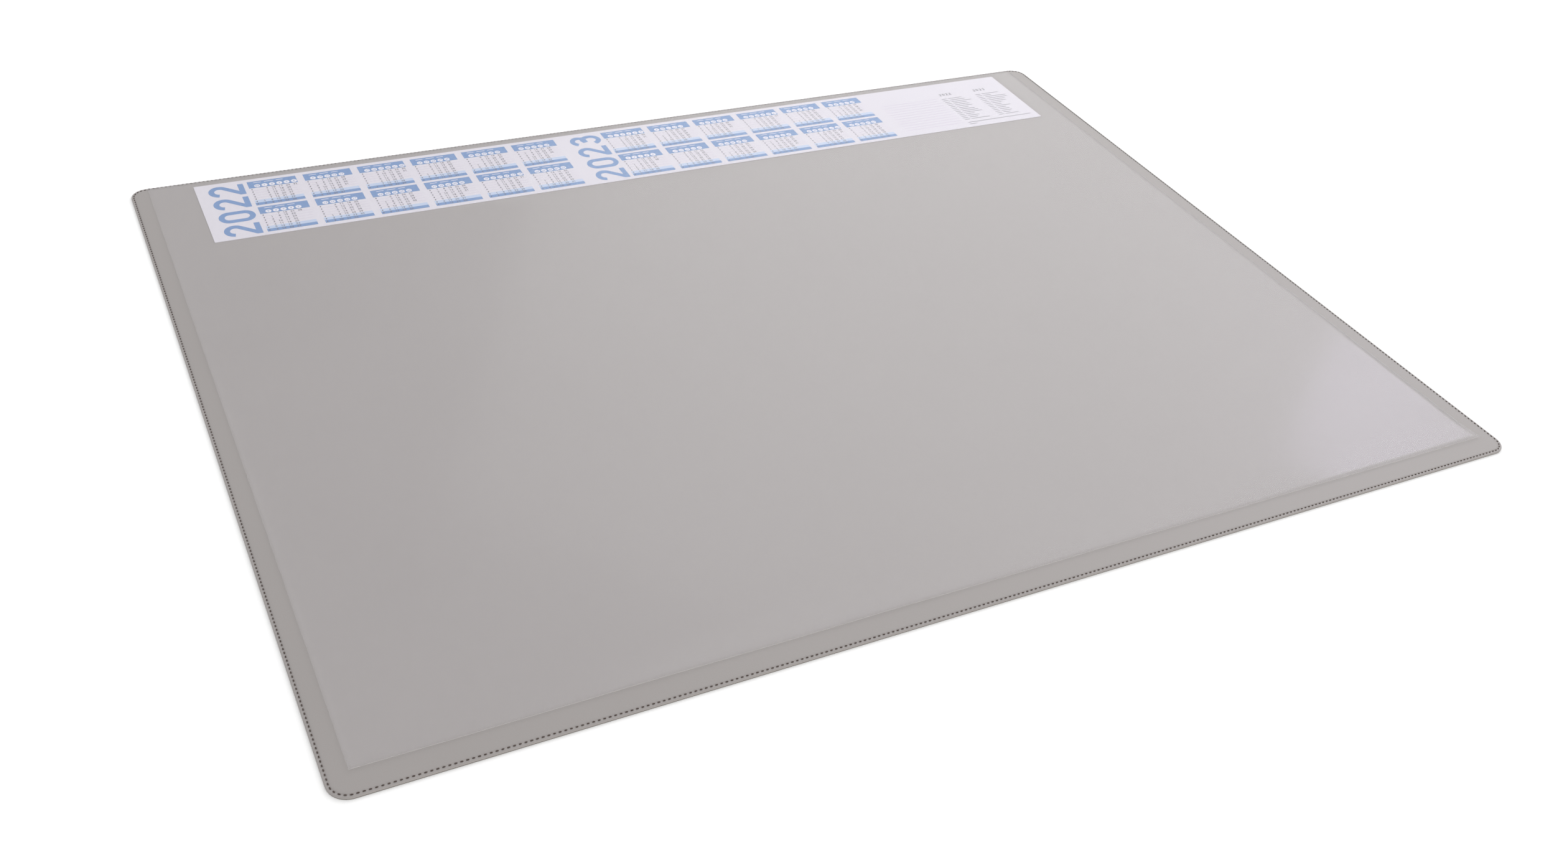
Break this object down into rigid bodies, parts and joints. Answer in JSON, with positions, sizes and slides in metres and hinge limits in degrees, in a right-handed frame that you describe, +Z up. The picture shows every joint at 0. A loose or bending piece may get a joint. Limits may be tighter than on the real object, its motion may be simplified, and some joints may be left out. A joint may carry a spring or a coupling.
{
  "type": "desk pad calendar",
  "caption": "Flat grey desk pad with rounded corners and a stitched edge, and a printed two-year calendar strip under a clear film along its rear edge",
  "frame": {"origin": "Middle of the underside, on the desk: the centre of the rectangle that the pad covers, at the height of the surface it lies on", "axes": "+X to the right along the long side, as a person at the desk sees it; +Y to the rear edge, where the calendar strip lies; +Z up, through the pad's thickness"},
  "size_m": [0.65, 0.5, 0.0028],
  "materials": {
    "backing_foam": "matte",
    "cover_sheet": "matte",
    "printed_card": "smooth",
    "clear_film": "matte",
    "seam_thread": "matte"
  },
  "bodies": {
    "root": {"anti_slip_backing": "backing_foam", "top_cover": "cover_sheet", "calendar_strip": "printed_card", "clear_overlay": "clear_film", "needle_thread": "seam_thread", "bobbin_thread": "seam_thread"}
  },
  "joints": []
}
